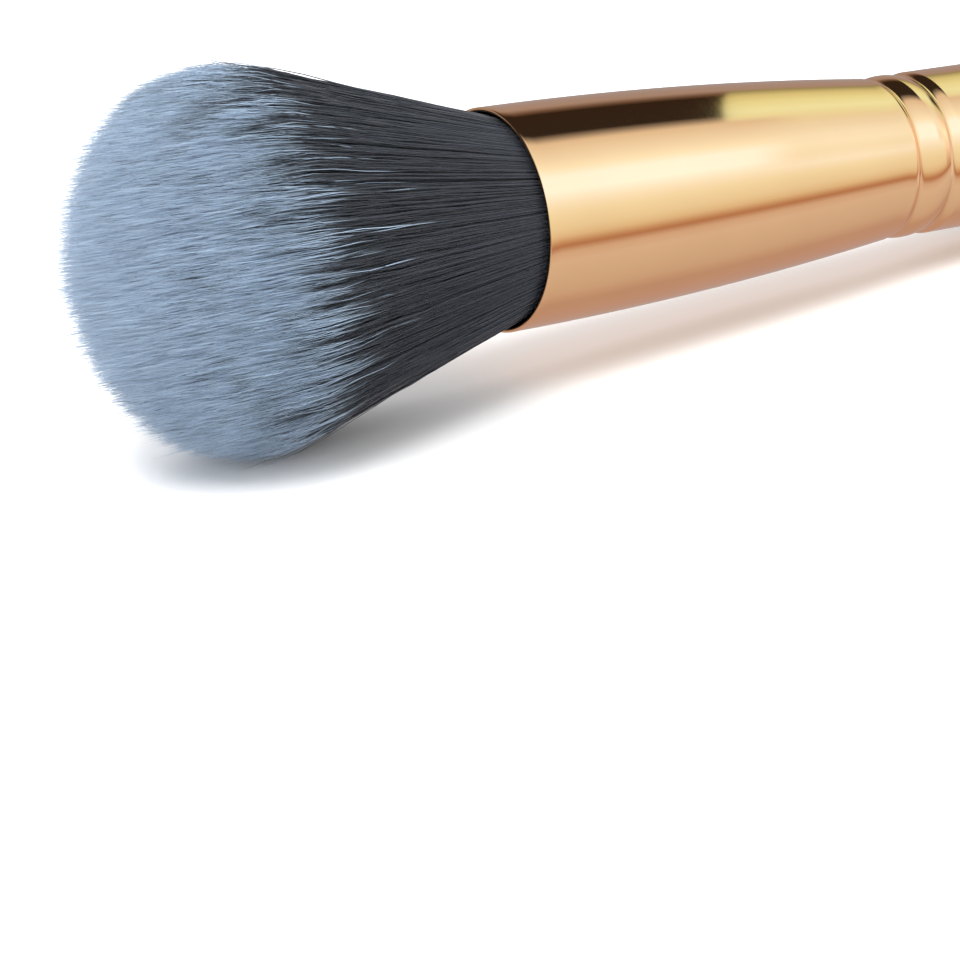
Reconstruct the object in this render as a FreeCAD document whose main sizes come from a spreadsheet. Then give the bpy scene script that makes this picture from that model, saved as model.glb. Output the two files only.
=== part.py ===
"""A round dusting brush: a soft two-tone tuft in a tapered metal ferrule, crimped on a turned wooden handle.

Every piece is turned about the brush's own axis, which lies along X. The hair points to -X and the handle
to +X. Outlines are drawn with X measured from the ferrule's mouth, and each body is then moved so that the
origin is at the middle of the ferrule's straight rear band, where a brush rack holds it.
"""
import FreeCAD, Part
import math
import os

import Sketcher

# Driving dimensions, in millimetres. Lengths along the brush run from the ferrule's mouth unless they say so.
SIZES = [
    ("mouth_dia", 24.0, "ferrule: outer diameter at the mouth"),
    ("wall", 0.45, "ferrule: thickness of the drawn sheet"),
    ("crimp_at", 51.8, "ferrule: mouth to the middle of the first crimp"),
    ("crimp_pitch", 4.7, "ferrule: first crimp to second crimp"),
    ("crimp_width", 2.8, "ferrule: width of one crimp where it leaves the plain wall"),
    ("crimp_depth", 0.4, "ferrule: depth of one crimp"),
    ("band_dia", 18.8, "ferrule: outer diameter from the crimps to the rear edge"),
    ("band_length", 13.0, "ferrule: straight band behind the second crimp"),
    ("edge_round", 0.2, "ferrule: rounding of the rear outer edge"),
    ("hair_out", 45.4, "tuft: length of hair in front of the mouth"),
    ("crown_dia", 39.6, "tuft: widest diameter"),
    ("dome_height", 13.9, "tuft: widest place to the tip"),
    ("dome_round", 10.0, "tuft: radius of the dome's shoulder"),
    ("flank_round", 26.0, "tuft: radius where the flank meets the widest place"),
    ("hair_gap", 0.55, "tuft: gap between the hair and the ferrule"),
    ("root_depth", 20.0, "tuft: length of hair inside the ferrule"),
    ("thread_dia", 0.6, "binding: diameter of the thread"),
    ("thread_turns", 5, "binding: number of turns"),
    ("thread_space", 0.05, "binding: gap between turns and to the hair"),
    ("thread_at", 8.5, "binding: mouth to the first turn"),
    ("glue_grip", 3.5, "root glue: length that wraps the ends of the hair"),
    ("glue_behind", 4.0, "root glue: thickness behind the ends of the hair"),
    ("tenon_length", 34.0, "handle: length inside the ferrule"),
    ("tenon_bevel", 1.0, "handle: bevel at the tenon's front end"),
    ("glue_film", 0.2, "tenon glue: thickness of the film round the tenon"),
    ("film_margin", 1.5, "tenon glue: film's end to the first crimp"),
    ("grip_length", 80.0, "handle: ferrule's rear edge to where the rounded butt begins"),
    ("shoulder_step", 0.15, "handle: how much slimmer than the ferrule's band it starts"),
    ("butt_dia", 9.0, "handle: diameter where the rounded butt begins"),
]


def make_sheet(doc):
    """Write the driving dimensions into a sheet, one row each: name, value, meaning."""
    sheet = doc.addObject("Spreadsheet::Sheet", "sizes")
    for row, (alias, number, meaning) in enumerate(SIZES, start=1):
        sheet.set(f"A{row}", alias)
        sheet.set(f"B{row}", str(number))
        sheet.set(f"C{row}", meaning)
        sheet.setAlias(f"B{row}", alias)
    doc.recompute()
    return sheet


# Derived places and radii, as expressions on the sheet.
MOUTH_R = "sizes.mouth_dia / 2"
BAND_R = "sizes.band_dia / 2"
LIP = "sizes.wall / 2"
TAPER_END = "(sizes.crimp_at - sizes.crimp_width / 2)"
CRIMP_2 = "(sizes.crimp_at + sizes.crimp_pitch)"
BAND_START = f"({CRIMP_2} + sizes.crimp_width / 2)"
FERRULE_END = f"({BAND_START} + sizes.band_length)"
ORIGIN_AT = f"({BAND_START} + sizes.band_length / 2)"
TENON_START = f"({FERRULE_END} - sizes.tenon_length)"
FILM_END = f"({TAPER_END} - sizes.film_margin)"
CROWN_R = "sizes.crown_dia / 2"
CROWN_AT = "(sizes.hair_out - sizes.dome_height)"
THREAD_STEP = "(sizes.thread_dia + sizes.thread_space)"
WAIST_FRONT = f"(sizes.thread_at - {THREAD_STEP})"
WAIST_BACK = f"(sizes.thread_at + {THREAD_STEP} * (sizes.thread_turns + 1))"

# One crimp is a round-bottomed groove between two rounded shoulders, all tangent. For a groove of depth d
# whose shoulder starts a distance w from its middle, the bottom's radius and the shoulder's add up to
# (w^2 + d^2) / 2d. The shoulder between the two crimps starts at the middle of the pitch, which makes the
# metal between them one rounded bead.
OUTER_W = "sizes.crimp_width / 2"
INNER_W = "sizes.crimp_pitch / 2"
OUTER_SUM = f"((({OUTER_W})^2 + sizes.crimp_depth^2) / (2 * sizes.crimp_depth))"
INNER_SUM = f"((({INNER_W})^2 + sizes.crimp_depth^2) / (2 * sizes.crimp_depth))"
GROOVE_R = f"(({OUTER_SUM} - sizes.wall) / 2)"


# The taper is one long arc, level at the mouth. It has narrowed by NARROWING where the first crimp begins.
NARROWING = f"({MOUTH_R} - {BAND_R})"
TAPER_LENGTH = f"({TAPER_END} - {LIP})"
TAPER_ARC = f"(({TAPER_LENGTH}^2 + {NARROWING}^2) / (2 * {NARROWING}))"


def bore(along):
    """Radius of the ferrule's inside at a place on its taper: the outside's arc, one wall nearer the axis."""
    fall = f"({TAPER_ARC} - sqrt({TAPER_ARC}^2 - ({along} - {LIP})^2))"
    return f"({MOUTH_R} - sizes.wall - {fall})"


def bundle(along):
    """Radius of the bundle of hair at a place inside the ferrule."""
    return f"({bore(along)} - sizes.hair_gap)"


def waist():
    """Radius of the bundle under the binding, one turn deeper than the bundle's surface beside it."""
    return f"({bundle(WAIST_BACK)} - {THREAD_STEP})"


def crimp_points(inset):
    """Outline through both crimps, on a surface that lies `inset` under the ferrule's outside.

    Each point is (x, r, curve to the next point). A curve is (radius, side): side +1 has its centre further
    from the brush's axis than the curve (a groove's bottom), side -1 nearer to it (a shoulder).
    """
    skin = f"({BAND_R} - {inset})"
    bottom = f"({GROOVE_R} + {inset})"

    def share(total):
        return f"({bottom} / {total})"

    def meets(middle, reach, total, way):
        """The point where a groove's bottom turns into the shoulder that starts `reach` from its middle."""
        x = f"({middle} {way} {reach} * {share(total)})"
        r = f"({skin} - sizes.crimp_depth * (1 - {share(total)}))"
        return x, r

    shoulder_out = f"({OUTER_SUM} - {bottom})"
    shoulder_in = f"({INNER_SUM} - {bottom})"
    first = "sizes.crimp_at"
    points = [(TAPER_END, skin, (shoulder_out, -1))]
    points.append((*meets(first, OUTER_W, OUTER_SUM, "-"), (bottom, +1)))
    points.append((*meets(first, INNER_W, INNER_SUM, "+"), (shoulder_in, -1)))
    points.append((*meets(CRIMP_2, INNER_W, INNER_SUM, "-"), (bottom, +1)))
    points.append((*meets(CRIMP_2, OUTER_W, OUTER_SUM, "+"), (shoulder_out, -1)))
    points.append((BAND_START, skin, None))
    return points


def run_backwards(points):
    """The same outline walked from its last point to its first."""
    curves = [curve for _, _, curve in points[:-1]]
    places = [(x, r) for x, r, _ in points]
    places.reverse()
    curves.reverse()
    return [(x, r, curve) for (x, r), curve in zip(places, curves + [None])]


def arc_between(start, end, radius, side):
    """The short arc from start to end, and whether it runs clockwise.

    side +1 puts the centre on the far side from the X axis, side -1 on the near side.
    """
    chord = end - start
    middle = (start + end) * 0.5
    rise = math.sqrt(max(radius**2 - (chord.Length / 2) ** 2, 0.0))
    normal = FreeCAD.Vector(-chord.y, chord.x, 0).normalize()
    if normal.y * side < 0 or (abs(normal.y) < 1e-9 and normal.x * side < 0):
        normal = normal * -1
    centre = middle + normal * rise
    spoke_start = start - centre
    spoke_end = end - centre
    angle_start = math.atan2(spoke_start.y, spoke_start.x)
    angle_end = math.atan2(spoke_end.y, spoke_end.x)
    clockwise = spoke_start.cross(spoke_end).z < 0
    circle = Part.Circle(centre, FreeCAD.Vector(0, 0, 1), radius)
    if clockwise:
        return Part.ArcOfCircle(circle, angle_end, angle_start), True
    return Part.ArcOfCircle(circle, angle_start, angle_end), False


def turned_body(doc, sheet, name, points):
    """A body turned about X from a closed outline. Every corner and radius is tied to the sheet."""

    def number(expression):
        return float(sheet.evalExpression(expression))

    body = doc.addObject("PartDesign::Body", name)
    body.Label = name
    plane = next(o for o in body.Origin.OriginFeatures if o.Role == "XY_Plane")
    sketch = body.newObject("Sketcher::SketchObject", f"{name}_outline")
    sketch.AttachmentSupport = [(plane, "")]
    sketch.MapMode = "FlatFace"

    corners = [FreeCAD.Vector(number(x), number(r), 0) for x, r, _ in points]
    starts = []
    ends = []
    for index, (_, _, curve) in enumerate(points):
        here = corners[index]
        there = corners[(index + 1) % len(corners)]
        if curve is None:
            edge = sketch.addGeometry(Part.LineSegment(here, there))
            starts.append((edge, 1))
            ends.append((edge, 2))
            continue
        radius, side = curve
        arc, clockwise = arc_between(here, there, number(radius), side)
        edge = sketch.addGeometry(arc)
        starts.append((edge, 2 if clockwise else 1))
        ends.append((edge, 1 if clockwise else 2))

    for index, (x, r, curve) in enumerate(points):
        following = (index + 1) % len(points)
        sketch.addConstraint(Sketcher.Constraint("Coincident", *ends[index], *starts[following]))
        along = sketch.addConstraint(
            Sketcher.Constraint("DistanceX", -1, 1, *starts[index], corners[index].x))
        sketch.setExpression(f"Constraints[{along}]", x)
        if r == "0":
            sketch.addConstraint(Sketcher.Constraint("PointOnObject", *starts[index], -1))
        else:
            out = sketch.addConstraint(
                Sketcher.Constraint("DistanceY", -1, 1, *starts[index], corners[index].y))
            sketch.setExpression(f"Constraints[{out}]", r)
        if curve is not None:
            bend = sketch.addConstraint(Sketcher.Constraint("Radius", starts[index][0], number(curve[0])))
            sketch.setExpression(f"Constraints[{bend}]", curve[0])
    doc.recompute()

    turn = body.newObject("PartDesign::Revolution", f"{name}_turned")
    turn.Profile = sketch
    turn.ReferenceAxis = (sketch, ["H_Axis"])
    turn.Angle = 360
    body.setExpression("Placement.Base.x", f"-{ORIGIN_AT}")
    return body


def make_ferrule(doc, sheet):
    """The drawn tube: rounded lip, taper, two crimps with a bead between them, and a straight band."""
    outside = crimp_points("0")
    inside = run_backwards(crimp_points("sizes.wall"))
    points = [(LIP, MOUTH_R, (TAPER_ARC, -1))]
    points += outside
    points += [
        (f"({FERRULE_END} - sizes.edge_round)", BAND_R, ("sizes.edge_round", -1)),
        (FERRULE_END, f"({BAND_R} - sizes.edge_round)", None),
        (FERRULE_END, f"({BAND_R} - sizes.wall)", None),
    ]
    points += inside[:-1]
    points.append((*inside[-1][:2], (TAPER_ARC, -1)))
    # The lip is half a circle across the wall, drawn as two quarters.
    points += [
        (LIP, f"({MOUTH_R} - sizes.wall)", (LIP, +1)),
        ("0", f"({MOUTH_R} - {LIP})", (LIP, -1)),
    ]
    return turned_body(doc, sheet, "ferrule", points)


def make_handle(doc, sheet):
    """The turned wood: a bevelled tenon that fills the crimps from inside, and a long tapered grip."""
    tenon_front = f"({bore(TENON_START)} - sizes.glue_film)"
    bevel_end = f"({TENON_START} + sizes.tenon_bevel)"
    tenon_bevelled = f"({bore(bevel_end)} - sizes.glue_film)"
    shoulder_r = f"({BAND_R} - sizes.shoulder_step)"
    butt_r = "sizes.butt_dia / 2"
    butt_at = f"({FERRULE_END} + sizes.grip_length)"
    # The grip is one long arc, level where it leaves the ferrule. It has narrowed by `drop` at the butt,
    # and the butt is part of a ball that the arc touches.
    drop = f"({shoulder_r} - {butt_r})"
    belly = f"((sizes.grip_length^2 + {drop}^2) / (2 * {drop}))"
    ball = f"({butt_r} * {belly} / ({belly} - {drop}))"
    ball_at = f"({butt_at} - {butt_r} * sizes.grip_length / ({belly} - {drop}))"
    points = [
        (TENON_START, "0", None),
        (TENON_START, f"({tenon_front} - sizes.tenon_bevel)", None),
        (bevel_end, tenon_bevelled, (TAPER_ARC, -1)),
        (FILM_END, f"({bore(FILM_END)} - sizes.glue_film)", None),
        (FILM_END, bore(FILM_END), (TAPER_ARC, -1)),
    ]
    points += crimp_points("sizes.wall")
    points += [
        (FERRULE_END, f"({BAND_R} - sizes.wall)", None),
        (FERRULE_END, shoulder_r, (belly, -1)),
        (butt_at, butt_r, (ball, -1)),
        (f"({ball_at} + {ball})", "0", None),
    ]
    return turned_body(doc, sheet, "handle", points)


def make_tenon_glue(doc, sheet):
    """The film of glue between the tenon and the ferrule's taper, in front of the crimps."""
    front = f"({TENON_START} + sizes.tenon_bevel)"
    points = [
        (front, f"({bore(front)} - sizes.glue_film)", (TAPER_ARC, -1)),
        (FILM_END, f"({bore(FILM_END)} - sizes.glue_film)", None),
        (FILM_END, bore(FILM_END), (TAPER_ARC, -1)),
        (front, bore(front), None),
    ]
    return turned_body(doc, sheet, "tenon_glue", points)


def make_bristle_head(doc, sheet):
    """The tuft: a bundle of hair that is waisted by its binding inside the ferrule and opens to a dome."""
    # The dome is two arcs that touch: a small one from the widest place and a large one over the tip, whose
    # centre is on the axis. top_r is the large one's radius.
    top_sum = f"(sizes.dome_height^2 + ({CROWN_R})^2 - 2 * {CROWN_R} * sizes.dome_round)"
    top_r = f"({top_sum} / (2 * (sizes.dome_height - sizes.dome_round)))"
    stretch = f"({top_r} / ({top_r} - sizes.dome_round))"
    dome_x = f"(-sizes.hair_out + {top_r} + (sizes.dome_height - {top_r}) * {stretch})"
    dome_r = f"(({CROWN_R} - sizes.dome_round) * {stretch})"

    # The flank is a straight line from the mouth that touches the curve of radius flank_round. Its far end
    # comes from the triangle of the mouth's edge, that curve's centre and the point of touch.
    mouth_hair = bundle("0")
    rise = f"({mouth_hair} - {CROWN_R} + sizes.flank_round)"
    reach = f"({CROWN_AT}^2 + {rise}^2)"
    leg = f"sqrt({reach} - sizes.flank_round^2)"
    along = f"(sizes.flank_round * ({rise} * {leg} - {CROWN_AT} * sizes.flank_round) / {reach})"
    out = f"(sizes.flank_round * ({rise} * sizes.flank_round + {CROWN_AT} * {leg}) / {reach})"
    touch_x = f"(-{CROWN_AT} - {along})"
    touch_r = f"({CROWN_R} - sizes.flank_round + {out})"

    points = [
        ("sizes.root_depth", "0", None),
        ("-sizes.hair_out", "0", (top_r, -1)),
        (dome_x, dome_r, ("sizes.dome_round", -1)),
        (f"-{CROWN_AT}", CROWN_R, ("sizes.flank_round", -1)),
        (touch_x, touch_r, None),
        ("0", mouth_hair, (TAPER_ARC, -1)),
        (WAIST_FRONT, bundle(WAIST_FRONT), None),
        (WAIST_FRONT, waist(), None),
        (WAIST_BACK, waist(), None),
        (WAIST_BACK, bundle(WAIST_BACK), (TAPER_ARC, -1)),
        ("sizes.root_depth", bundle("sizes.root_depth"), None),
    ]
    return turned_body(doc, sheet, "bristle_head", points)


def make_root_glue(doc, sheet):
    """The plug of epoxy that locks the ends of the hair to the ferrule: a cup with a thick floor."""
    front = "(sizes.root_depth - sizes.glue_grip)"
    back = "(sizes.root_depth + sizes.glue_behind)"
    points = [
        (back, "0", None),
        ("sizes.root_depth", "0", None),
        ("sizes.root_depth", bundle("sizes.root_depth"), (TAPER_ARC, -1)),
        (front, bundle(front), None),
        (front, bore(front), (TAPER_ARC, -1)),
        (back, bore(back), None),
    ]
    return turned_body(doc, sheet, "root_glue", points)


def make_binding_thread(doc, sheet):
    """The thread wound round the bundle in close turns."""
    coil_r = f"({waist()} + sizes.thread_space / 2 + sizes.thread_dia / 2)"
    body = doc.addObject("PartDesign::Body", "binding_thread")
    body.Label = "binding_thread"
    plane = next(o for o in body.Origin.OriginFeatures if o.Role == "XY_Plane")
    sketch = body.newObject("Sketcher::SketchObject", "thread_section")
    sketch.AttachmentSupport = [(plane, "")]
    sketch.MapMode = "FlatFace"
    start = FreeCAD.Vector(float(sheet.thread_at), float(sheet.evalExpression(coil_r)), 0)
    circle = sketch.addGeometry(Part.Circle(start, FreeCAD.Vector(0, 0, 1), float(sheet.thread_dia) / 2))
    along = sketch.addConstraint(Sketcher.Constraint("DistanceX", -1, 1, circle, 3, start.x))
    out = sketch.addConstraint(Sketcher.Constraint("DistanceY", -1, 1, circle, 3, start.y))
    width = sketch.addConstraint(Sketcher.Constraint("Diameter", circle, float(sheet.thread_dia)))
    sketch.setExpression(f"Constraints[{along}]", "sizes.thread_at")
    sketch.setExpression(f"Constraints[{out}]", coil_r)
    sketch.setExpression(f"Constraints[{width}]", "sizes.thread_dia")
    doc.recompute()
    coil = body.newObject("PartDesign::AdditiveHelix", "thread_coil")
    coil.Profile = sketch
    coil.ReferenceAxis = (sketch, ["H_Axis"])
    coil.Mode = "pitch-turns-angle"
    coil.setExpression("Pitch", THREAD_STEP)
    coil.setExpression("Turns", "sizes.thread_turns")
    body.setExpression("Placement.Base.x", f"-{ORIGIN_AT}")
    return body


def check_and_write(doc, bodies):
    """Refuse a failed or empty shape, then write one file for each piece."""
    failed = [o.Name for o in doc.Objects if {"Invalid", "Error"} & set(o.State)]
    if failed:
        raise SystemExit(f"these objects failed: {failed}")
    for body in bodies:
        shape = body.Shape
        if shape.isNull() or not shape.isValid() or not shape.Solids:
            raise SystemExit(f"{body.Label} has no valid solid")
    os.makedirs("parts", exist_ok=True)
    for body in bodies:
        body.Shape.exportStep(f"parts/{body.Label}.step")
        box = body.Shape.BoundBox
        print(f"{body.Label:15s} {body.Shape.Volume:10.1f} mm3  x {box.XMin:8.2f} to {box.XMax:8.2f}"
              f"  radius {box.ZMax:6.2f}")


def main():
    doc = FreeCAD.newDocument("dusting_brush")
    sheet = make_sheet(doc)
    makers = [make_ferrule, make_handle, make_tenon_glue, make_bristle_head, make_root_glue,
              make_binding_thread]
    bodies = [maker(doc, sheet) for maker in makers]
    doc.recompute()
    check_and_write(doc, bodies)


main()
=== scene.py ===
# %% [markdown]
# # A round dusting brush
#
# This brush dusts acrylic powder and filings off a manicure. It is a soft tuft of two-tone synthetic hair, a
# tapered metal ferrule with two crimps, and a lacquered wooden handle. The engineering model arrives first,
# as a fixed frame, and nothing in it is moved. Lengths below are in metres, X runs from the hair to the
# handle, and every piece is round about the X axis.

# %% Load the fixed frame
import math

import bpy
import numpy as np
from mathutils import Matrix, Vector


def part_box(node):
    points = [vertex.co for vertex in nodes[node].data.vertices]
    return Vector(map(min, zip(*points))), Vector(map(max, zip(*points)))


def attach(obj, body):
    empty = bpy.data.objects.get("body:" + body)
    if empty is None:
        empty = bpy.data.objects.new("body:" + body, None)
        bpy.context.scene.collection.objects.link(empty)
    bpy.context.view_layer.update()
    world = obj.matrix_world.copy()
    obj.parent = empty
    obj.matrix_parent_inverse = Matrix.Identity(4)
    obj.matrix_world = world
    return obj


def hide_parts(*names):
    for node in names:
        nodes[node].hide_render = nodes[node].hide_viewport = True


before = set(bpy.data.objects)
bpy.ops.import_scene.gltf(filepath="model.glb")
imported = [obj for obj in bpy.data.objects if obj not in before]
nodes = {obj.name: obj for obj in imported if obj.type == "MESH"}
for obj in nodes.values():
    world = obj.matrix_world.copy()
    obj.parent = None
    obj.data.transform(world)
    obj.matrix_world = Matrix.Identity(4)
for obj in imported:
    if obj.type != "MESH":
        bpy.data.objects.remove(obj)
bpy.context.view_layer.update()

mm = 0.001
print("pieces in the frame:", sorted(nodes))

# %% [markdown]
# ## Measures
#
# The places of the mouth, the widest part of the tuft and its tip are read from the frame, so the hair
# always grows out of the ferrule it finds there.

# %% Read the main places from the frame
ferrule_low, ferrule_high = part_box("ferrule")
hair_low, hair_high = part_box("bristle_head")
handle_low, handle_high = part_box("handle")
mouth_x = ferrule_low.x
mouth_r = ferrule_high.z
hair_length = mouth_x - hair_low.x
crown_r = hair_high.z
butt_x = handle_high.x
print(f"hair {hair_length / mm:.1f} mm out of a mouth of radius {mouth_r / mm:.1f} mm")

# %% [markdown]
# ## Camera
#
# A camera can be aimed with a target and a constraint, or with three angles as on a tripod head: turn, nod
# and tilt. The angles are used here, because they keep the picture still when the brush is edited. A long
# lens from a short distance shows the tuft from the front and the ferrule running away from it.

# %% Set up the camera
def aim(turn, nod, tilt):
    """Rotation of a camera that looks along +Y, turned right, nodded up and tilted clockwise (radians)."""
    forward = Vector((math.sin(turn) * math.cos(nod), math.cos(turn) * math.cos(nod), math.sin(nod)))
    level = forward.cross(Vector((0, 0, 1))).normalized()
    over = level.cross(forward)
    right = level * math.cos(tilt) + over * math.sin(tilt)
    up = over * math.cos(tilt) - level * math.sin(tilt)
    return Matrix((right, up, -forward)).transposed()


lens = bpy.data.cameras.new("camera")
lens.sensor_width = 36.0
lens.lens = 99.9
lens.clip_start = 0.01
lens.clip_end = 50.0
camera = bpy.data.objects.new("camera", lens)
bpy.context.scene.collection.objects.link(camera)
stand = Vector((mouth_x - 0.1435, -0.2390, 0.0501))
camera.matrix_world = Matrix.Translation(stand) @ aim(0.5317, -0.2744, -0.0552).to_4x4()
bpy.context.scene.camera = camera
bpy.context.scene.view_settings.view_transform = "Standard"
print(f"camera {stand.length:.3f} m from the rack seat")

# %% [markdown]
# ## Floor
#
# A round brush lies on its tuft and on the butt of its handle, so its axis isn't level over a table. The
# engineering frame keeps the axis level, so the table is tilted instead, by the slope from the tuft to the
# butt. Past the butt the sheet eases back to level, so that it doesn't hide the brush from behind.

# %% Lay the brush on a floor
def surface_object(name, corners, faces, smooth=True):
    """Make a mesh object at the origin from an array of corners (n, 3) and faces (m, 3 or 4)."""
    mesh = bpy.data.meshes.new(name)
    mesh.from_pydata(corners.tolist(), [], faces.tolist())
    mesh.polygons.foreach_set("use_smooth", np.full(len(mesh.polygons), smooth))
    mesh.update()
    thing = bpy.data.objects.new(name, mesh)
    bpy.context.scene.collection.objects.link(thing)
    return thing


butt_r = 0.0045
crown_x = mouth_x - hair_length + 0.0139
rest_slope = (crown_r - butt_r) / (butt_x - butt_r - crown_x)
settle = 0.0004
half_floor = 4.0
ease_start = butt_x + 0.005
ease_length = 0.04
sheet_x = np.concatenate([[-half_floor], np.linspace(ease_start, ease_start + ease_length, 9), [half_floor]])
past = np.clip(sheet_x - ease_start, 0, ease_length)
sheet_z = (np.minimum(sheet_x, ease_start) - crown_x) * rest_slope - crown_r - settle
sheet_z = sheet_z + rest_slope * (past - past**2 / (2 * ease_length))
floor_corners = np.concatenate([np.stack([sheet_x, np.full(len(sheet_x), y), sheet_z], 1)
                                for y in (-half_floor, half_floor)])
strip = np.arange(len(sheet_x) - 1)
floor = surface_object("floor", floor_corners, np.stack(
    [strip, strip + 1, strip + 1 + len(sheet_x), strip + len(sheet_x)], 1))
print(f"the floor rises {math.degrees(rest_slope):.1f} degrees towards the handle")


# %% [markdown]
# ## Helpers for materials
#
# Every finish below is a small tree of nodes that ends in one Principled shader. The helpers only save
# typing: one starts a material, one adds a node and sets its inputs, and one maps a number onto colours.

# %% Start a material and add nodes
def start_material(name, **sockets):
    """A new material whose Principled shader has the given sockets set, and its tree."""
    material = bpy.data.materials.new(name)
    material.use_nodes = True
    shader = material.node_tree.nodes["Principled BSDF"]
    for socket, value in sockets.items():
        shader.inputs[socket.replace("_", " ")].default_value = value
    return material, material.node_tree, shader


def add_node(tree, kind, settings=None, **inputs):
    """Add a node, set its own settings, then set or link each named input."""
    node = tree.nodes.new(kind)
    for key, value in (settings or {}).items():
        setattr(node, key, value)
    for socket, value in inputs.items():
        target = node.inputs[socket.replace("_", " ")]
        if isinstance(value, bpy.types.NodeSocket):
            tree.links.new(value, target)
        else:
            target.default_value = value
    return node


def colour_ramp(tree, number, stops):
    """Map a number onto colours. Each stop is (place, (red, green, blue))."""
    ramp = add_node(tree, "ShaderNodeValToRGB", Fac=number)
    elements = ramp.color_ramp.elements
    while len(elements) < len(stops):
        elements.new(0.5)
    for element, (place, colour) in zip(elements, stops):
        element.position = place
        element.color = (*colour, 1.0)
    return ramp.outputs["Color"]


def times_plus(tree, number, factor, extra):
    """number * factor + extra. The number is another node's output, and extra may be one too."""
    node = tree.nodes.new("ShaderNodeMath")
    node.operation = "MULTIPLY_ADD"
    node.inputs[1].default_value = factor
    tree.links.new(number, node.inputs[0])
    if isinstance(extra, bpy.types.NodeSocket):
        tree.links.new(extra, node.inputs[2])
    else:
        node.inputs[2].default_value = extra
    return node.outputs[0]


def stretched_noise(tree, where, stretch, scale, detail=2.0):
    """Noise on coordinates that are scaled by (x, y, z) first, which draws it out into streaks."""
    mapped = add_node(tree, "ShaderNodeMapping", Vector=where, Scale=stretch)
    noise = add_node(tree, "ShaderNodeTexNoise", Vector=mapped.outputs[0], Scale=scale, Detail=detail)
    return noise.outputs["Fac"]


# %% [markdown]
# ## Studio
#
# The floor is a pale matt sheet. Soft light comes from large panels, and a bright even sky fills the
# shadows.

# %% Floor finish and sky
floor_paint, floor_tree, floor_shader = start_material("floor_paint", Roughness=0.9)
floor_where = add_node(floor_tree, "ShaderNodeTexCoord").outputs["Object"]
floor_grain = stretched_noise(floor_tree, floor_where, (1, 1, 1), 3.0)
floor_colour = colour_ramp(floor_tree, floor_grain, [(0.3, (0.93, 0.93, 0.935)), (0.7, (0.95, 0.95, 0.95))])
floor_tree.links.new(floor_colour, floor_shader.inputs["Base Color"])
floor.data.materials.append(floor_paint)

sky = bpy.data.worlds.new("sky")
sky.use_nodes = True
sky.node_tree.nodes["Background"].inputs["Color"].default_value = (1.0, 1.0, 1.0, 1.0)
sky.node_tree.nodes["Background"].inputs["Strength"].default_value = 0.88
bpy.context.scene.world = sky


# %% Light panels
def light_panel(name, place, target, size, power):
    """A rectangular soft light at a place, aimed at a target. It isn't seen in reflections."""
    lamp = bpy.data.lights.new(name, "AREA")
    lamp.shape = "RECTANGLE"
    lamp.size, lamp.size_y = size
    lamp.energy = power
    panel = bpy.data.objects.new(name, lamp)
    panel.location = place
    panel.rotation_euler = (Vector(target) - Vector(place)).to_track_quat("-Z", "Y").to_euler()
    panel.visible_camera = False
    panel.visible_glossy = False
    bpy.context.scene.collection.objects.link(panel)


middle = (mouth_x, 0.0, 0.0)
light_panel("key_panel", (-0.35, -0.25, 0.85), middle, (0.6, 0.6), 8.2)
light_panel("fill_panel", (0.6, -0.6, 0.5), middle, (0.8, 0.8), 2.5)
light_panel("low_panel", (-0.50, -0.50, 0.0), middle, (0.5, 0.5), 0.8)
light_panel("front_panel", (-0.95, 0.10, 0.25), middle, (0.5, 0.5), 1.3)
light_panel("back_panel", (0.1, 0.8, 0.6), middle, (0.8, 0.6), 5.0)

# %% [markdown]
# ## What the metal sees
#
# Polished metal has hardly any look of its own: it shows what stands round it. A studio builds that up from
# cards and soft boxes. Here no cards stand round the brush: one hoop does, glowing with painted reflections,
# and only reflections see it. Going round it from behind the brush over the top to the front, it is painted
# with the reflections of a dim wall, a black card with a yellow card to its right, a soft box that is
# brightest in front above eye level, a thin dark edge where the table begins, and the table, with painted
# shade that gets dimmer towards the shadow under the brush. The floor itself is hidden from reflections, so
# that the painted table is seen in its place.

# %% Build the hoop
hoop_radius = 0.5
hoop_low, hoop_high = -1.1, 1.3
hoop_glow = 2.2


def build_hoop(around=180):
    """A tube about X, closed at the hair's end. Its map is the place along X and the part of a turn from +Y."""
    turn = 2 * np.pi * np.arange(around + 1) / around
    circle = np.stack([np.cos(turn), np.sin(turn)], 1)
    rings = [np.column_stack([np.full(around + 1, x), radius * circle])
             for x, radius in ((hoop_low, 0.01), (hoop_low, hoop_radius), (hoop_high, hoop_radius))]
    here = np.concatenate([np.arange(around), np.arange(around) + around + 1])
    faces = np.stack([here, here + 1, here + around + 2, here + around + 1], 1)
    hoop = surface_object("reflection_hoop", np.concatenate(rings), faces, False)
    loops = faces.reshape(-1)
    along = np.clip(loops // (around + 1) - 1.0, 0, 1)
    layer = hoop.data.uv_layers.new(name="hoop_map")
    layer.data.foreach_set("uv", np.stack([along, (loops % (around + 1)) / around], 1).reshape(-1))
    for kind in ("camera", "diffuse", "shadow", "transmission", "volume_scatter"):
        setattr(hoop, f"visible_{kind}", False)
    return hoop


def hoop_stops(bands):
    """Colour stops from (degrees, level or colour): levels are brightness, scaled to the hoop's glow."""
    stops = []
    for degrees, level in bands:
        colour = level if isinstance(level, tuple) else (level, level, level)
        stops.append((degrees / 360, tuple(part / hoop_glow for part in colour)))
    return stops


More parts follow.
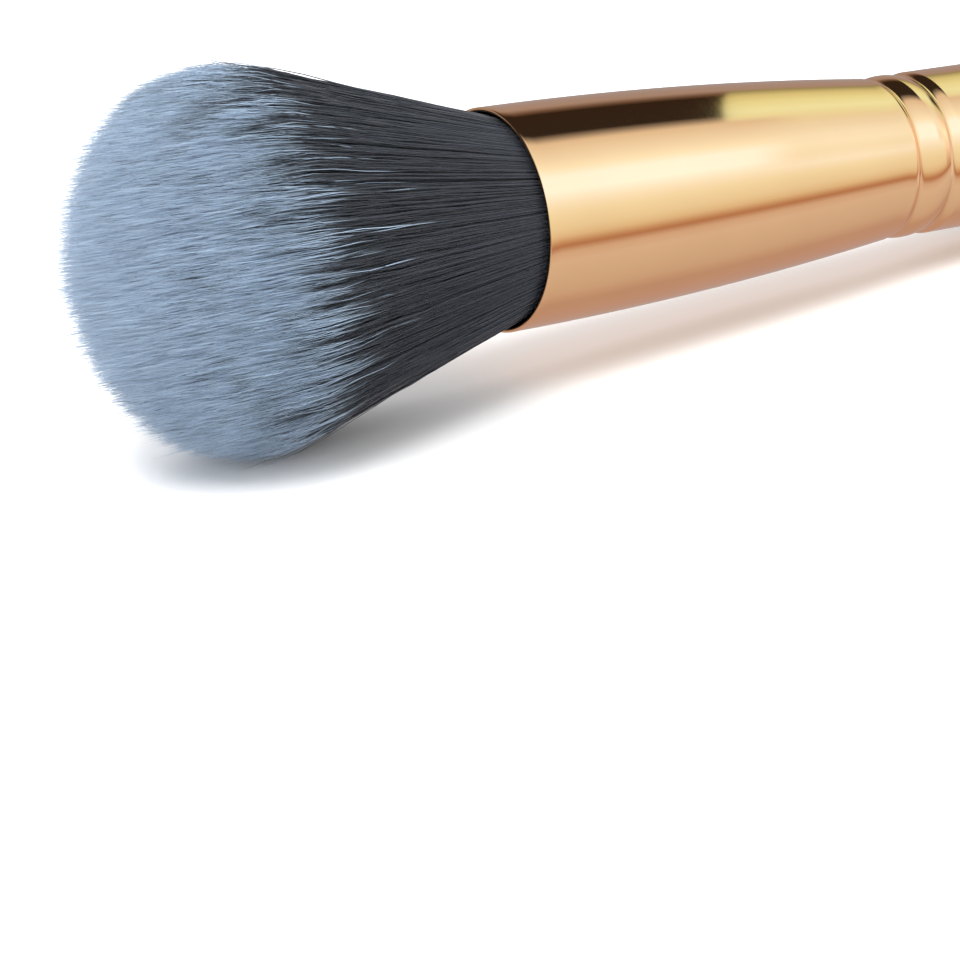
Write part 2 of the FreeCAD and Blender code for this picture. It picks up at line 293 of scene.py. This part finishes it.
hoop = build_hoop()
hoop_paint, hoop_tree, hoop_shader = start_material("hoop_paint", Base_Color=(0, 0, 0, 1), Roughness=1.0)
hoop_shader.inputs["Specular IOR Level"].default_value = 0.0
hoop_map = add_node(hoop_tree, "ShaderNodeUVMap", {"uv_map": "hoop_map"}).outputs[0]
hoop_split = add_node(hoop_tree, "ShaderNodeSeparateXYZ", Vector=hoop_map)
# Painted reflections, in degrees round the hoop: the table's is dimmer towards the painted shadow under the
# brush.
table = [(202, (0.60, 0.42, 0.30)), (205, (0.50, 0.29, 0.20)), (212, (0.72, 0.64, 0.62)),
         (221, (0.77, 0.74, 0.75)), (240, (0.72, 0.69, 0.68)), (258, (0.67, 0.61, 0.59)),
         (276, (0.57, 0.45, 0.42)), (300, (0.56, 0.43, 0.41)), (359, (0.45, 0.38, 0.36))]
low_box = [(161, (1.10, 1.38, 1.62)), (170, (1.03, 1.22, 1.22)), (178, (0.98, 1.12, 1.04)),
           (187, (0.92, 1.01, 0.92)), (195, (0.83, 0.82, 0.68))]
soft_box = [(98, (0.84, 0.86, 0.83)), (108, (0.93, 1.03, 1.05)), (118, (1.02, 1.18, 1.24)),
            (127, (1.12, 1.38, 1.5)), (136, (1.35, 1.62, 2.15)), (150, (1.4, 1.65, 2.2))] + low_box
plain_box = [(101, (0.94, 1.08, 1.0)), (113, (0.98, 1.16, 1.24)),
             (126, (1.08, 1.33, 1.48)), (136, (1.1, 1.38, 1.55)), (148, (1.07, 1.3, 1.4))] + low_box
wall = [(1, (0.40, 0.36, 0.36)), (36, (0.42, 0.36, 0.36))]
black_card = [(46, (0.16, 0.11, 0.09)), (52, (0.035, 0.025, 0.018)), (86, (0.035, 0.03, 0.028)),
              (91, (0.3, 0.3, 0.3))]
yellow_card = [(42, (0.36, 0.38, 0.22)), (54, (0.75, 0.85, 0.5)), (68, (0.92, 1.15, 0.8)),
               (82, (0.98, 1.31, 1.08)), (91, (0.95, 1.2, 0.98))]
near_ring = colour_ramp(hoop_tree, hoop_split.outputs["Y"], hoop_stops(wall + black_card + soft_box + table))
middle_ring = colour_ramp(hoop_tree, hoop_split.outputs["Y"], hoop_stops(wall + yellow_card + soft_box + table))
plain_ring = colour_ramp(hoop_tree, hoop_split.outputs["Y"], hoop_stops(wall + yellow_card + plain_box + table))


def hoop_place(x):
    """A place along X as a part of the hoop's length."""
    return (x - hoop_low) / (hoop_high - hoop_low)


def hoop_mix(first, second, low, high, lean=0.0):
    """Fade from the first colour to the second between two places along X, on a border that may lean."""
    border = times_plus(hoop_tree, hoop_split.outputs["Y"], -lean, hoop_split.outputs["X"])
    fade = add_node(hoop_tree, "ShaderNodeMapRange", {"interpolation_type": "SMOOTHSTEP"},
                    Value=border, From_Min=hoop_place(low), From_Max=hoop_place(high))
    mixed = add_node(hoop_tree, "ShaderNodeMix", {"data_type": "RGBA"}, Factor=fade.outputs[0])
    hoop_tree.links.new(first, mixed.inputs["A"])
    hoop_tree.links.new(second, mixed.inputs["B"])
    return mixed.outputs["Result"]


far_box = [(1, 0.35), (48, 0.20), (56, 0.05), (72, 0.05), (88, (0.8, 0.95, 0.7)), (112, 1.0), (140, 1.5),
           (165, 1.15)]
far_ring = colour_ramp(hoop_tree, hoop_split.outputs["Y"], hoop_stops(far_box + table))
hoop_colour = hoop_mix(near_ring, middle_ring, 0.3462, 0.3492, lean=0.05)
hoop_colour = hoop_mix(hoop_colour, plain_ring, 0.40, 0.46)
hoop_colour = hoop_mix(hoop_colour, far_ring, 0.62, 0.80)
# The hoop glows with these painted reflections, though it is no lamp.
hoop_tree.links.new(hoop_colour, hoop_shader.inputs["Emission Color"])
hoop_shader.inputs["Emission Strength"].default_value = hoop_glow
hoop_paint.cycles.emission_sampling = "NONE"
hoop.data.materials.append(hoop_paint)
floor.visible_glossy = False

# %% [markdown]
# ## Ferrule
#
# The ferrule is drawn from thin aluminium tube, polished, and coated a rose gold colour. A mirror shows
# every facet of a mesh, so the same shape is turned again here with even, narrow bands: a rolled lip, one
# long arc for the taper, two crimps with a bead between them, and a straight band.

# %% The ferrule's profile as formulas
wall_thick = 0.00045
lip_r = wall_thick / 2
crimp_at, crimp_pitch = 0.0518, 0.0047
crimp_reach, crimp_depth = 0.0014, 0.0004
ferrule_length = ferrule_high.x - mouth_x
taper_end = crimp_at - crimp_reach
ferrule_points = np.zeros(3 * len(nodes["ferrule"].data.vertices))
nodes["ferrule"].data.vertices.foreach_get("co", ferrule_points)
ferrule_points = ferrule_points.reshape(-1, 3) @ np.array(nodes["ferrule"].matrix_world)[:3, :3].T
near_rear = ferrule_points[:, 0] > ferrule_high.x - 0.002
band_r = np.hypot(ferrule_points[near_rear, 1], ferrule_points[near_rear, 2]).max()
taper_arc = ((taper_end - lip_r) ** 2 + (mouth_r - band_r) ** 2) / (2 * (mouth_r - band_r))
groove_r = ((crimp_reach**2 + crimp_depth**2) / (2 * crimp_depth) - wall_thick) / 2
print(f"band radius {band_r / mm:.2f} mm, taper on an arc of {taper_arc / mm:.0f} mm")


def groove_drop(away, reach):
    """How deep a crimp is at a distance from its middle: a round bottom between two round shoulders.

    The bottom's radius and the shoulder's add up to (reach^2 + depth^2) / (2 depth), so the arcs meet level.
    """
    total = (reach**2 + crimp_depth**2) / (2 * crimp_depth)
    shoulder = total - groove_r
    bottom = crimp_depth - groove_r + np.sqrt(np.clip(groove_r**2 - away**2, 0, None))
    side = shoulder - np.sqrt(np.clip(shoulder**2 - (reach - away) ** 2, 0, None))
    return np.where(away < reach * groove_r / total, bottom, np.where(away < reach, side, 0.0))


def ferrule_outside(s):
    """Radius of the ferrule's outside at a distance s behind the mouth."""
    taper = mouth_r - taper_arc + np.sqrt(taper_arc**2 - (np.clip(s, lip_r, taper_end) - lip_r) ** 2)
    second = crimp_at + crimp_pitch
    first_reach = np.where(s < crimp_at, crimp_reach, crimp_pitch / 2)
    second_reach = np.where(s < second, crimp_pitch / 2, crimp_reach)
    first_drop = groove_drop(np.abs(s - crimp_at), first_reach)
    return taper - first_drop - groove_drop(np.abs(s - second), second_reach)


# %% Turn the ferrule
def turned_shell(name, along, radius, around=192):
    """A closed shell turned about X. The profile is a loop, so its last place joins its first."""
    turn = 2 * np.pi * np.arange(around) / around
    corners = np.stack([np.repeat(along, around), np.outer(radius, np.cos(turn)).reshape(-1),
                        np.outer(radius, np.sin(turn)).reshape(-1)], 1)
    band, place = np.divmod(np.arange(len(along) * around), around)
    after = (band + 1) % len(along)
    beside = (place + 1) % around
    faces = np.stack([band * around + place, after * around + place, after * around + beside,
                      band * around + beside], 1)
    return surface_object(name, corners, faces)


rear_round = 0.0002
groove_end = crimp_at + crimp_pitch + crimp_reach
skin_s = np.concatenate([np.linspace(lip_r, taper_end, 48), np.linspace(taper_end, groove_end, 90)[1:],
                         np.linspace(groove_end, ferrule_length - rear_round, 5)[1:]])
skin_r = ferrule_outside(skin_s)
corner = np.linspace(0, np.pi / 2, 6)[1:]
rear_s = ferrule_length - rear_round * (1 - np.sin(corner))
rear_r = band_r - rear_round * (1 - np.cos(corner))
roll = np.linspace(0, np.pi, 13)[1:-1]
lip_s = lip_r - lip_r * np.sin(roll)
lip_ring = mouth_r - lip_r + lip_r * np.cos(roll)
inner_s = np.append(skin_s[::3], ferrule_length)
inner_r = ferrule_outside(inner_s) - wall_thick
profile_s = np.concatenate([rear_s[::-1], skin_s[::-1], lip_s, inner_s])
profile_r = np.concatenate([rear_r[::-1], skin_r[::-1], lip_ring, inner_r])
ferrule = turned_shell("drawn_ferrule", mouth_x + profile_s, profile_r)
print(f"ferrule {len(ferrule.data.polygons)} faces")

# %% [markdown]
# Polishing leaves very fine lines round the tube, and the coating is a little uneven, so the roughness comes
# from noise that is drawn out round the axis, and a faint swell in the wall bends the reflections.

# %% Rose gold finish
rose_gold, gold_tree, gold_shader = start_material("rose_gold", Metallic=1.0)
gold_where = add_node(gold_tree, "ShaderNodeTexCoord").outputs["Object"]
gold_lines = stretched_noise(gold_tree, gold_where, (1, 0.03, 0.03), 9000.0, 3.0)
gold_patches = stretched_noise(gold_tree, gold_where, (1, 1, 1), 90.0, 4.0)
gold_tone = colour_ramp(gold_tree, gold_patches, [(0.25, (0.88, 0.54, 0.29)), (0.75, (0.92, 0.57, 0.31))])
gold_tree.links.new(gold_tone, gold_shader.inputs["Base Color"])
gold_tree.links.new(times_plus(gold_tree, gold_lines, 0.05, 0.035), gold_shader.inputs["Roughness"])
gold_swell = stretched_noise(gold_tree, gold_where, (0.5, 1, 1), 120.0, 0.0)
gold_bump = add_node(gold_tree, "ShaderNodeBump", Strength=0.03, Distance=0.0002, Height=gold_swell)
gold_tree.links.new(gold_bump.outputs[0], gold_shader.inputs["Normal"])
ferrule.data.materials.append(rose_gold)
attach(ferrule, "root")
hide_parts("ferrule")

# %% [markdown]
# ## Handle
#
# The handle is turned birch under black lacquer. Lacquer is a thin clear layer over a dark base, which is
# what the coat of the Principled shader is for. It settles into a faint ripple like orange peel.

# %% Black lacquer
lacquer, lacquer_tree, lacquer_shader = start_material(
    "black_lacquer", Roughness=0.35, Coat_Weight=1.0, Coat_Roughness=0.06)
lacquer_where = add_node(lacquer_tree, "ShaderNodeTexCoord").outputs["Object"]
lacquer_grain = stretched_noise(lacquer_tree, lacquer_where, (0.06, 1, 1), 1500.0, 4.0)
lacquer_tone = colour_ramp(lacquer_tree, lacquer_grain,
                           [(0.3, (0.010, 0.010, 0.012)), (0.7, (0.020, 0.019, 0.021))])
lacquer_tree.links.new(lacquer_tone, lacquer_shader.inputs["Base Color"])
lacquer_peel = stretched_noise(lacquer_tree, lacquer_where, (1, 1, 1), 700.0, 2.0)
lacquer_bump = add_node(lacquer_tree, "ShaderNodeBump", Strength=0.12, Distance=0.0002, Height=lacquer_peel)
lacquer_tree.links.new(lacquer_bump.outputs[0], lacquer_shader.inputs["Normal"])
lacquer_tree.links.new(lacquer_bump.outputs[0], lacquer_shader.inputs["Coat Normal"])
nodes["handle"].data.materials.clear()
nodes["handle"].data.materials.append(lacquer)

# %% [markdown]
# ## Hair: the outline of the tuft
#
# Each hair runs from the bundle in the mouth to a place on the dome. The outermost hairs follow the flank: a
# straight flare that rounds off to level at the widest place. Hairs nearer the axis follow the same curve,
# drawn in towards the axis and stretched to reach the dome above them, so no two cross.

# %% Flank and dome as formulas
mouth_hair_r = 0.01125
dome_height = 0.0145
dome_power = 1.88
crown_s = hair_length - dome_height
rounding = 0.0056
flare = (crown_r - mouth_hair_r) / (crown_s - rounding / 2)


def flank(s):
    """Radius of the outermost hair at a distance s from the mouth.

    It grows in proportion to s, and over the last stretch before the widest place it is a parabola that
    ends level.
    """
    straight = mouth_hair_r + flare * s
    rounded = crown_r - flare / (2 * rounding) * (crown_s - s) ** 2
    return np.where(s < crown_s - rounding, straight, np.where(s < crown_s, rounded, crown_r))


def dome_reach(share):
    """Distance from the mouth to the dome above a hair at this share of the widest radius.

    The dome is a superellipse: (height / full height)^p + share^p = 1.
    """
    return crown_s + dome_height * (1 - np.clip(share, 0, 1) ** dome_power) ** (1 / dome_power)


# %% [markdown]
# ## Hair: clumps
#
# Soft hair gathers in little locks. Locks can be made by pulling every hair towards the nearest of many
# scattered centres. A jittered grid finds the nearest centre without comparing every pair: a hair looks only
# at the centres in its own cell and the eight round it.

# %% Find the lock each hair belongs to
dice = np.random.default_rng(20260)
table_size = 128
lock_table = dice.random((table_size, table_size, 4))


def nearest_lock(spots, cell):
    """For spots (n, 2) on the crown's disc: the nearest centre (n, 2) and two random numbers of its lock."""
    home = np.floor(spots / cell).astype(int)
    best = np.full(len(spots), np.inf)
    centre = np.zeros_like(spots)
    marks = np.zeros((len(spots), 2))
    for step_y in (-1, 0, 1):
        for step_z in (-1, 0, 1):
            here = home + (step_y, step_z)
            chance = lock_table[here[:, 0] % table_size, here[:, 1] % table_size]
            place = (here + 0.5 + 0.9 * (chance[:, :2] - 0.5)) * cell
            away = np.linalg.norm(place - spots, axis=1)
            closer = away < best
            best[closer] = away[closer]
            centre[closer] = place[closer]
            marks[closer] = chance[closer, 2:]
    return centre, marks


# %% [markdown]
# ## Hair: strands
#
# A strand is a thin tube that tapers to a point. Three sides are the fewest that still look round when
# shaded smooth. All the strands of a piece are worked out at once, as an array of (strand, step, xyz).

# %% Wrap a tapering tube round each line
def tube_mesh(name, lines, thickness, column, height, sides=3, guide=(0.31, 0.86, 0.41)):
    """One mesh object of tubes round the lines (n, steps, 3), flat at the root and pointed at the tip.

    A ring's corners lie at equal angles round the line, at the strand's thickness there, and the first is
    square to the guide direction. The last ring is a single point. column and height are the strand's place
    across and along its colour map.
    """
    count, steps, _ = lines.shape
    run = np.gradient(lines, axis=1)
    run /= np.linalg.norm(run, axis=2, keepdims=True)
    across = np.cross(run, np.array(guide))
    across /= np.linalg.norm(across, axis=2, keepdims=True)
    other = np.cross(run, across)
    turn = 2 * np.pi * np.arange(sides) / sides
    spokes = across[:, :-1, None] * np.cos(turn)[:, None] + other[:, :-1, None] * np.sin(turn)[:, None]
    rings = lines[:, :-1, None] + spokes * thickness[:, :-1, None, None]
    corners = np.concatenate([rings.reshape(count, -1, 3), lines[:, -1:]], 1)
    per_strand = corners.shape[1]

    ring, side = np.divmod(np.arange((steps - 2) * sides), sides)
    here = ring * sides + side
    beside = ring * sides + (side + 1) % sides
    walls = np.stack([here, beside, beside + sides, here + sides], 1)
    last = sides * (steps - 2) + np.arange(sides)
    tip = np.stack([last, np.roll(last, -1), np.full(sides, per_strand - 1)], 1)
    root = np.arange(sides)[::-1]
    first = (np.arange(count) * per_strand)[:, None]
    strand_loops = np.concatenate([walls.reshape(-1), tip.reshape(-1), root])
    loops = (strand_loops + first).reshape(-1)
    strand_sizes = [4] * len(walls) + [3] * sides + [sides]
    sizes = np.tile(strand_sizes, count)
    starts = np.concatenate([[0], np.cumsum(sizes)[:-1]])

    mesh = bpy.data.meshes.new(name)
    mesh.vertices.add(count * per_strand)
    mesh.vertices.foreach_set("co", corners.reshape(-1).astype(np.float32))
    mesh.loops.add(len(loops))
    mesh.loops.foreach_set("vertex_index", loops.astype(np.int32))
    mesh.polygons.add(len(sizes))
    mesh.polygons.foreach_set("loop_start", starts.astype(np.int32))
    mesh.polygons.foreach_set("use_smooth", np.ones(len(sizes), bool))
    mesh.update(calc_edges=True)
    mesh.validate()

    spread = 0.001 * (np.arange(sides) / (sides - 1) - 0.5)
    columns = np.tile(column[:, None, None] + spread, (1, steps - 1, 1)).reshape(count, -1)
    map_u = np.concatenate([columns, column[:, None]], 1).reshape(-1)
    map_v = np.concatenate([np.repeat(height[:, :-1], sides, axis=1), height[:, -1:]], 1).reshape(-1)
    layer = mesh.uv_layers.new(name="OFBake")
    layer.data.foreach_set("uv", np.stack([map_u[loops], map_v[loops]], 1).reshape(-1).astype(np.float32))
    thing = bpy.data.objects.new(name, mesh)
    bpy.context.scene.collection.objects.link(thing)
    return thing


# %% [markdown]
# ## Hair: colour
#
# The fibre is dyed twice: slate at the root and pale blue grey at the tip, with a ragged change between them
# because hairs slide past each other before they are glued. Each strand has a place in a colour map: across
# it the hairs differ in tone, and along it the colour runs from root to tip, with the change of dye in the
# middle. Where the dye changes on a strand is then only a matter of how the strand is laid on the map.

# %% Two-tone hair finish
hair_finish, hair_tree, hair_shader = start_material(
    "two_tone_hair", Roughness=0.37, Sheen_Weight=0.15, Sheen_Roughness=0.4)
hair_shader.inputs["Specular IOR Level"].default_value = 0.5
hair_map = add_node(hair_tree, "ShaderNodeUVMap", {"uv_map": "OFBake"}).outputs[0]
hair_split = add_node(hair_tree, "ShaderNodeSeparateXYZ", Vector=hair_map)
hair_tone = colour_ramp(hair_tree, hair_split.outputs["Y"], [
    (0.10, (0.022, 0.028, 0.044)),
    (0.465, (0.024, 0.030, 0.044)),
    (0.500, (0.120, 0.152, 0.185)),
    (0.530, (0.430, 0.560, 0.680)),
    (0.570, (0.560, 0.730, 0.915)),
    (0.650, (0.510, 0.665, 0.835)),
])
hair_locks = stretched_noise(hair_tree, hair_map, (1.0, 0.02, 1.0), 17.0, 1.0)
hair_strands = stretched_noise(hair_tree, hair_map, (1.0, 0.02, 1.0), 300.0, 2.0)
hair_mixed = hair_tone
for tone, dark in ((hair_locks, (0.66, 0.66, 0.70)), (hair_strands, (0.78, 0.78, 0.80))):
    gain = colour_ramp(hair_tree, tone, [(0.33, dark), (0.67, (1.0, 1.0, 1.0))])
    step = add_node(hair_tree, "ShaderNodeMix", {"data_type": "RGBA", "blend_type": "MULTIPLY"}, Factor=1.0)
    hair_tree.links.new(hair_mixed, step.inputs["A"])
    hair_tree.links.new(gain, step.inputs["B"])
    hair_mixed = step.outputs["Result"]
hair_tree.links.new(hair_mixed, hair_shader.inputs["Base Color"])

# %% [markdown]
# ## Hair: growing it
#
# The pale dye reaches back about five millimetres from the tips at the rim and ten in the middle, so the
# change of colour follows the dome. It isn't even: whole locks have slipped, single hairs have slipped
# further, and on top the pale part is a little shorter. The tips wear thin and soft, so each strand tapers.

# %% Where the dye changes, and the path of each strand
dye_length = 0.0050
map_length = 0.045


def dyed_from_tip(spots, share, angle, small_marks, large_marks):
    """How far the pale dye reaches back from each tip.

    It is one length, longer near the axis and shorter on top, plus a slip for the strand's large, small and
    tiny lock and one of its own. One strand in 25 is dark nearly to its tip, and one in 25 pale much further.
    """
    on_top = np.clip((np.sin(angle) - 0.4) / 0.5, 0, 1)
    tiny_marks = nearest_lock(spots, 0.00036)[1]
    reach = dye_length - 0.0012 * on_top * share**2 + 0.0055 * (1 - share)
    reach = reach + 0.0036 * (small_marks[:, 1] - 0.5) + 0.0030 * (large_marks[:, 1] - 0.5)
    reach = reach + 0.0042 * (tiny_marks[:, 0] - 0.5) + 0.0007 * dice.normal(size=len(share))
    odd = dice.random(len(share))
    slip = dice.random(len(share))
    reach = np.where(odd < 0.04, 0.001 + 0.006 * slip, reach)
    return np.where(odd > 0.96, reach + 0.003 + 0.008 * slip, reach)


def strand_lines(share, angle, start, steps, drift, spread, pull_in):
    """Centre lines (n, steps, 3) of strands, height on the colour map, distance left to the tip, and column.

    share and angle place the hair on the crown's disc. start is how far from the tip the line begins. Each
    line follows the flank's curve scaled by share, is pulled towards its lock's centre by the square of the
    way along, waves from side to side, and drifts off a little on its own.
    """
    count = len(share)
    spots = share[:, None] * crown_r * np.stack([np.cos(angle), np.sin(angle)], 1)
    small_centre, small_marks = nearest_lock(spots, 0.0008)
    large_centre, large_marks = nearest_lock(spots, 0.0031)
    pull = pull_in * (small_centre - spots) + 0.3 * pull_in * (large_centre - spots)

    length = dome_reach(share) + 0.0004 + spread * dice.normal(size=count)
    length += 0.0006 * (small_marks[:, 0] - 0.5) + 0.0006 * (large_marks[:, 0] - 0.5)
    left = np.minimum(start, length + 0.0025)[:, None] * np.linspace(1, 0, steps)
    s = length[:, None] - left
    way = np.clip(s / length[:, None], 0, 1)
    radius = flank(s * (crown_s / dome_reach(share))[:, None]) / crown_r

    lead = spots[:, None, :] * radius[:, :, None]
    lead = lead + pull[:, None, :] * (way**2 * radius)[:, :, None]
    phase = 2 * np.pi * (small_marks[:, 1] + 0.3 * dice.random(count))[:, None]
    beat = (2 * np.pi / (0.0080 + 0.003 * small_marks[:, 0]))[:, None]
    heading = (2 * np.pi * dice.random(count))[:, None]
    bend = (drift * np.minimum(np.abs(dice.normal(size=count)), 1.7))[:, None] * way**1.5
    side_y = bend * np.cos(heading) + 0.00020 * way * np.sin(beat * s + phase)
    side_z = bend * np.sin(heading) + 0.00016 * way * np.cos(0.8 * beat * s + 2 * phase)
    lines = np.stack([mouth_x - s, lead[:, :, 0] + side_y, lead[:, :, 1] + side_z], 2)
    reach = dyed_from_tip(spots, share, angle, small_marks, large_marks)
    height = np.clip(0.5 + (reach[:, None] - left) / map_length, 0.005, 0.995)
    column = 0.01 + 0.98 * (0.86 * small_marks[:, 0] + 0.14 * dice.random(count))
    return lines, height, left, column


# %% Grow the strands
def grow(name, share, angle, start, steps, drift, spread, thick, pull_in):
    """One piece of hair: its strands' lines, wrapped in tubes that taper to a soft tip.

    The thickness falls over the last 8.5 mm, as the distance left to the power 0.7.
    """
    count = len(share)
    starts = np.full(count, start)
    lines, height, left, column = strand_lines(share, angle, starts, steps, drift, spread, pull_in)
    taper = np.clip(left / 0.0085, 0, 1) ** 0.7
    fatness = thick * (0.75 + 0.5 * dice.random(count))
    thickness = fatness[:, None] * (0.08 + 0.92 * taper)
    piece = tube_mesh(name, lines, thickness, column, height)
    piece.data.materials.append(hair_finish)
    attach(piece, "root")
    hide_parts("bristle_head")
    return piece


def scatter(count, low, high):
    """Shares and angles spread evenly over the crown's disc between two shares of its radius."""
    share = np.sqrt(low**2 + (high**2 - low**2) * dice.random(count))
    return share, 2 * np.pi * dice.random(count)


hair_pieces = []
for batch in range(3):
    share, angle = scatter(3300, 0.84, 1.0)
    hair_pieces.append(grow(f"outer_hair_{batch + 1}", share, angle, 1.0, 11, 0.0004, 0.0010, 0.000052, 0.22))
for batch in range(6):
    share, angle = scatter(8900, 0.0, 0.94)
    hair_pieces.append(grow(f"tip_hair_{batch + 1}", share, angle, 0.014, 5, 0.0005, 0.0013, 0.000050, 0.17))
share, angle = scatter(420, 0.97, 1.0)
low_side = np.sin(angle) < -0.2
hair_pieces.append(grow("stray_hair", share[low_side], angle[low_side], 1.0, 12, 0.0011, 0.0012, 0.000036, 0.1))
print(f"{len(hair_pieces)} pieces of hair, {sum(len(p.data.polygons) for p in hair_pieces)} faces")

# %% [markdown]
# ## Hair: the packed middle
#
# Behind the outer hairs the tuft is packed too tight to see through. A solid core stands for that middle. It
# is turned about the axis from the same flank and dome, a little inside them, runs back into the ferrule as
# far as the hair does, and is closed at both ends.

# %% Core
def turned_surface(name, along, radius, around, colour_height):
    """A closed surface turned about X: x = along, (y, z) = radius times (cos, sin) of the turn.

    The first and last places of the profile lie on the axis and become single points.
    """
    turn = 2 * np.pi * np.arange(around) / around
    inner = slice(1, -1)
    ring_x = np.repeat(along[inner], around)
    ring_r = np.repeat(radius[inner], around)
    ring_t = np.tile(turn, len(along) - 2)
    rings = np.stack([ring_x, ring_r * np.cos(ring_t), ring_r * np.sin(ring_t)], 1)
    poles = np.array([[along[0], 0, 0], [along[-1], 0, 0]])
    corners = np.concatenate([rings, poles])
    bands = len(along) - 3
    cell = np.arange(bands * around)
    band, place = cell // around, cell % around
    beside = (place + 1) % around
    quads = np.stack([band * around + place, (band + 1) * around + place, (band + 1) * around + beside,
                      band * around + beside], 1)
    here = np.arange(around)
    beside = (here + 1) % around
    first_pole = len(rings)
    last_ring = bands * around
    start_cap = np.stack([here, beside, np.full(around, first_pole)], 1)
    end_cap = np.stack([last_ring + beside, last_ring + here, np.full(around, first_pole + 1)], 1)
    faces = quads.tolist() + start_cap.tolist() + end_cap.tolist()
    mesh = bpy.data.meshes.new(name)
    mesh.from_pydata(corners.tolist(), [], faces)
    mesh.polygons.foreach_set("use_smooth", np.ones(len(mesh.polygons), bool))
    mesh.update()
    loops = np.zeros(len(mesh.loops), np.int32)
    mesh.loops.foreach_get("vertex_index", loops)
    heights = np.concatenate([np.repeat(colour_height[inner], around), colour_height[[0, -1]]])
    columns = np.concatenate([np.tile(here / around, len(along) - 2), [0.5, 0.5]])
    layer = mesh.uv_layers.new(name="OFBake")
    layer.data.foreach_set("uv", np.stack([columns[loops], heights[loops]], 1).reshape(-1).astype(np.float32))
    thing = bpy.data.objects.new(name, mesh)
    bpy.context.scene.collection.objects.link(thing)
    return thing


core_share = 0.86
core_depth = 0.0030
core_way = np.linspace(0, 1, 60)
root_s = mouth_x - hair_high.x
flank_s = np.concatenate([[root_s, -0.003], np.linspace(0, crown_s * 0.98, 40)])
flank_radius = core_share * flank(np.maximum(flank_s, 0))
cap_share = np.linspace(1, 0, 24)[1:]
cap_s = dome_reach(cap_share) - core_depth
cap_radius = cap_share * core_share * crown_r
core_s = np.concatenate([[flank_s[0]], flank_s, cap_s])
core_radius = np.concatenate([[0.0], flank_radius, cap_radius])
core_height = np.clip(0.5 + (core_s - crown_s + 0.006) / map_length, 0.01, 0.56)
core = turned_surface("packed_core", mouth_x - core_s, core_radius, 96, core_height)
core.data.materials.append(hair_finish)
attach(core, "root")
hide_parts("bristle_head")
print(f"core {len(core.data.polygons)} faces")

# %% [markdown]
# ## Thread and glue
#
# Inside the ferrule a waxed thread is wound round the bundle five times, an epoxy plug holds the ends of the
# hair, and a film of glue holds the handle. They can't be seen until the brush is taken apart, so the thread
# is only a coil with twelve sides, and the glue keeps its engineering shape.

# %% Wind the thread
thread_low, thread_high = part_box("binding_thread")
thread_r = 0.0003
thread_turns = 5
coil_steps = 240
coil_way = np.linspace(0, 1, coil_steps)
coil_turn = 2 * np.pi * thread_turns * coil_way
coil_r = thread_high.z - thread_r
coil_x = thread_low.x + thread_r + (thread_high.x - thread_low.x - 2 * thread_r) * coil_way
coil = np.stack([coil_x, coil_r * np.cos(coil_turn), coil_r * np.sin(coil_turn)], 1)[None]
thread = tube_mesh("thread_coil", coil, np.full((1, coil_steps), thread_r), np.array([0.5]), coil_way[None],
                   sides=12, guide=(1, 0, 0))
waxed, waxed_tree, waxed_shader = start_material("waxed_thread", Roughness=0.55, Sheen_Weight=0.2)
waxed_where = add_node(waxed_tree, "ShaderNodeTexCoord").outputs["Object"]
waxed_fibres = stretched_noise(waxed_tree, waxed_where, (1, 0.3, 0.3), 6000.0)
waxed_tone = colour_ramp(waxed_tree, waxed_fibres, [(0.35, (0.55, 0.50, 0.40)), (0.65, (0.80, 0.76, 0.66))])
waxed_tree.links.new(waxed_tone, waxed_shader.inputs["Base Color"])
thread.data.materials.append(waxed)
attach(thread, "root")
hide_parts("binding_thread")
print(f"thread {len(thread.data.polygons)} faces, wound {thread_turns} times")


# %% Glue
def cast_glue(name, node, thin, thick):
    """Cured resin: a glossy plastic, a little cloudy where it is thicker."""
    material, tree, shader = start_material(name, Roughness=0.2, Subsurface_Weight=0.2, Subsurface_Scale=0.002)
    where = add_node(tree, "ShaderNodeTexCoord").outputs["Object"]
    cloud = stretched_noise(tree, where, (1, 1, 1), 350.0, 3.0)
    tree.links.new(colour_ramp(tree, cloud, [(0.35, thin), (0.65, thick)]), shader.inputs["Base Color"])
    nodes[node].data.materials.clear()
    nodes[node].data.materials.append(material)


cast_glue("amber_epoxy", "root_glue", (0.66, 0.46, 0.18), (0.78, 0.60, 0.30))
cast_glue("clear_glue", "tenon_glue", (0.76, 0.72, 0.58), (0.86, 0.83, 0.72))
